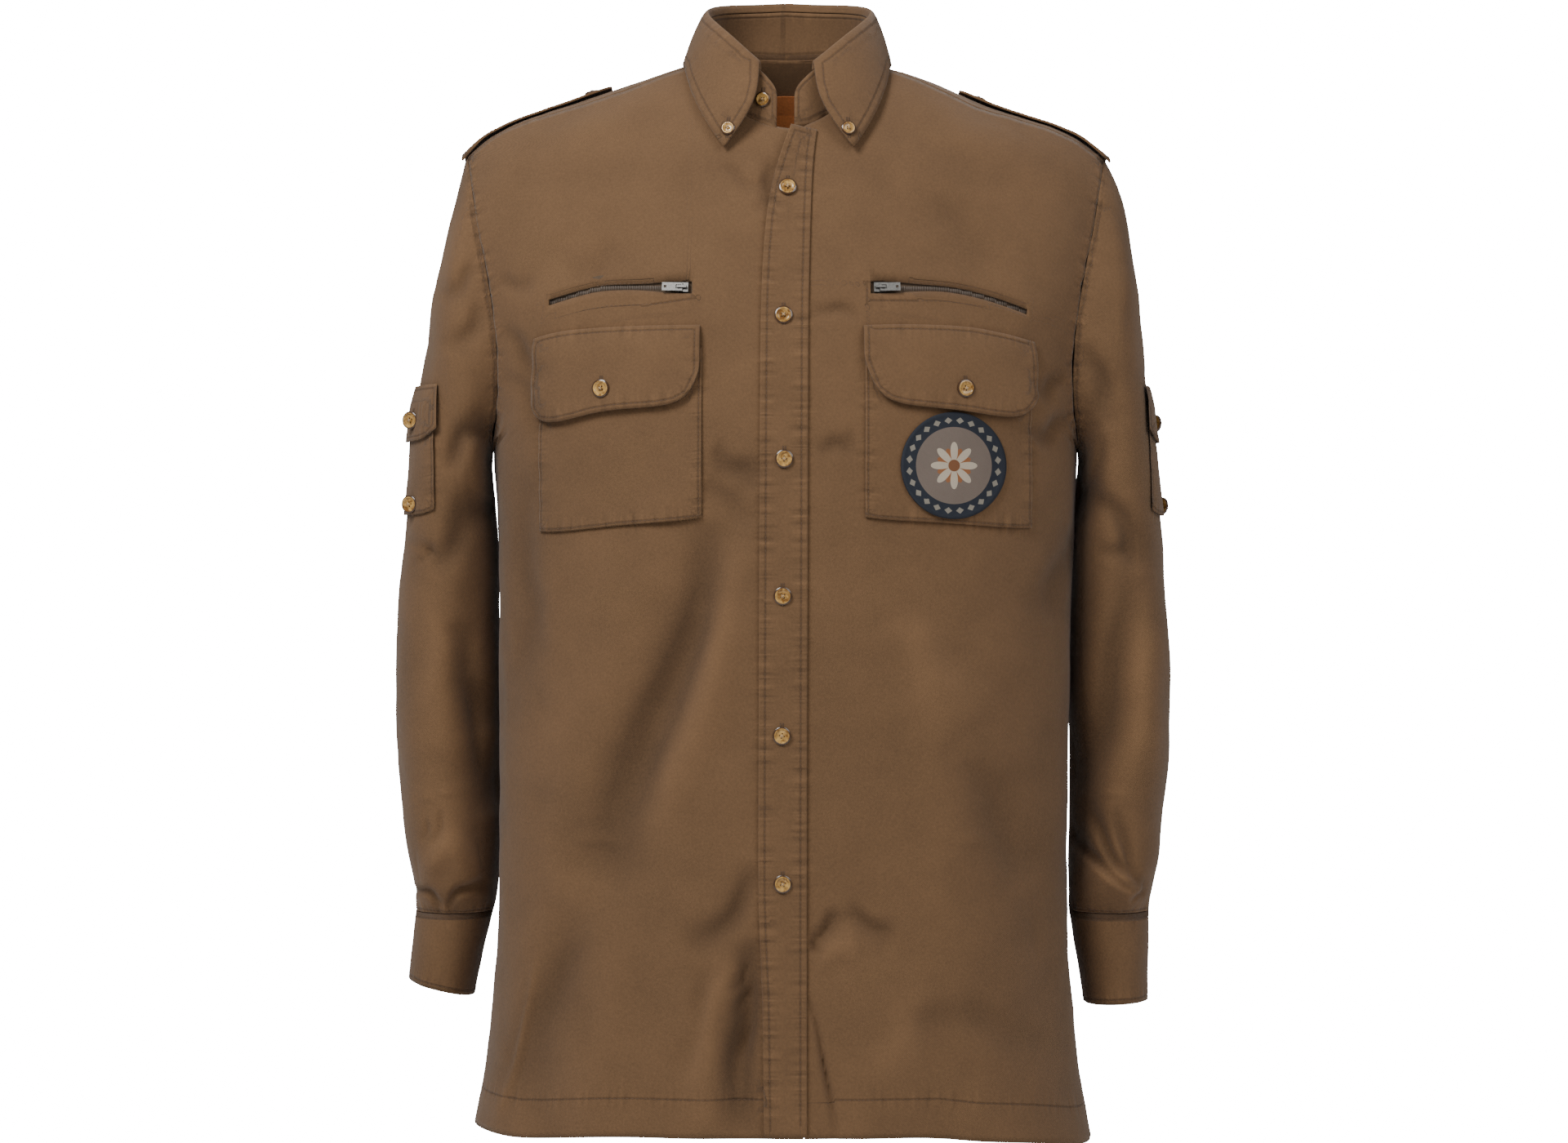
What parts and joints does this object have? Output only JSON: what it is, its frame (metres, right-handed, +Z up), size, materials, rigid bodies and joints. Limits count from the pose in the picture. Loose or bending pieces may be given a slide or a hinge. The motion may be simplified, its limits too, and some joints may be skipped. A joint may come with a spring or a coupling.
{
  "type": "long sleeved utility shirt",
  "caption": "Filled-out long-sleeved utility shirt with button-down collar, front placket, zip and flap chest pockets, sleeve pockets and epaulettes.",
  "frame": {"origin": "on the shoulder line, midway between the two shoulders, where the garment rests on its wearer", "axes": "+Z up the body, front toward -Y, +X toward the wearer's left"},
  "size_m": [0.5759, 0.2659, 0.8405],
  "materials": {
    "cloth": "matte brushed cotton twill",
    "button": "glossy amber horn effect",
    "zip_tape": "matte woven tape",
    "zip_metal": "satin nickel",
    "label": "woven satin",
    "patch": "embroidered"
  },
  "bodies": {
    "garment": {"front_right": "cloth", "front_left": "cloth", "placket": "cloth", "back": "cloth", "yoke": "cloth", "collar_stand": "cloth", "collar_fall": "cloth", "sleeve_right": "cloth", "sleeve_left": "cloth", "cuff_right": "cloth", "cuff_left": "cloth", "chest_pocket_right": "cloth", "chest_pocket_left": "cloth", "pocket_flap_right": "cloth", "pocket_flap_left": "cloth", "sleeve_pocket_right": "cloth", "sleeve_pocket_left": "cloth", "sleeve_flap_right": "cloth", "sleeve_flap_left": "cloth", "epaulette_right": "cloth", "epaulette_left": "cloth", "button_front_1": "button", "button_front_2": "button", "button_front_3": "button", "button_front_4": "button", "button_front_5": "button", "button_front_6": "button", "button_stand": "button", "button_collar_right": "button", "button_collar_left": "button", "button_flap_right": "button", "button_flap_left": "button", "button_sleeve_flap_right": "button", "button_sleeve_flap_left": "button", "button_sleeve_low_right": "button", "button_sleeve_low_left": "button", "button_epaulette_right": "button", "button_epaulette_left": "button", "button_cuff_right": "button", "button_cuff_left": "button", "zip_tape_right": "zip_tape", "zip_tape_left": "zip_tape", "zip_slider_right": "zip_metal", "zip_slider_left": "zip_metal", "label": "label", "patch": "patch"},
    "pull_right": {"zip_pull_right": "zip_metal"},
    "pull_left": {"zip_pull_left": "zip_metal"}
  },
  "joints": [
    {"name": "pull_right_hinge", "type": "hinge", "parent": "garment", "child": "pull_right", "pos_m": [-0.073, -0.11825, -0.1625], "axis": [0.0472, 0.2087, 0.9769], "range_deg": [0, 170]},
    {"name": "pull_left_hinge", "type": "hinge", "parent": "garment", "child": "pull_left", "pos_m": [0.06698, -0.11891, -0.16254], "axis": [0.0361, -0.2127, -0.9765], "range_deg": [0, 170]}
  ]
}
